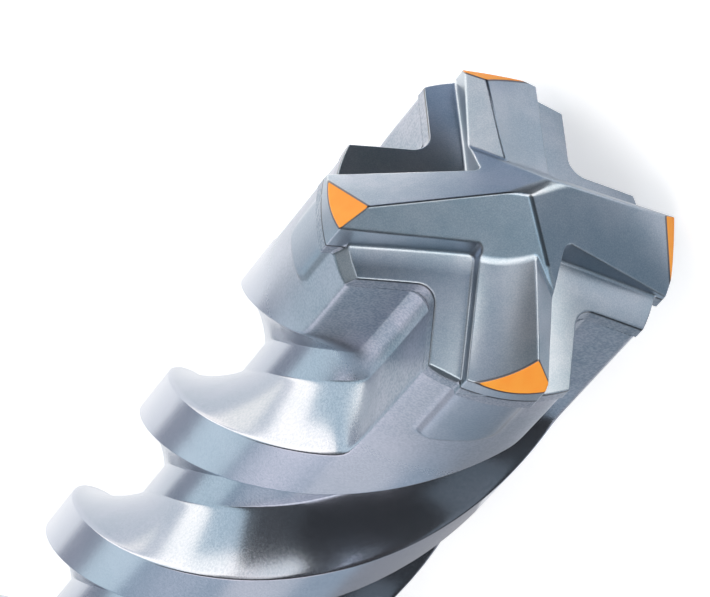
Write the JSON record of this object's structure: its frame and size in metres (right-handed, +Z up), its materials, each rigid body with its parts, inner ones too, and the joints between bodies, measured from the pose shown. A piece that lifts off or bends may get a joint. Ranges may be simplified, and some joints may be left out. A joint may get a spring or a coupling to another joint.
{
  "type": "masonry drill bit",
  "caption": "Masonry drill bit with a cross-shaped carbide head brazed on a deeply fluted steel body, and a slotted quick-change shank.",
  "frame": {"origin": "centre of the footprint of the lying bit, on the surface it lies on", "axes": "+X along the drill axis towards the cutting tip, +Z up, with the arms of the head at 45 degrees to it"},
  "size_m": [0.16, 0.0152, 0.0152],
  "materials": {
    "sintered_carbide": "ground and satin, with orange marks on the outer corners",
    "blasted_steel": "fine blasted steel with a satin sheen"
  },
  "bodies": {
    "root": {"carbide_head": "sintered_carbide", "steel_body": "blasted_steel"}
  },
  "joints": []
}
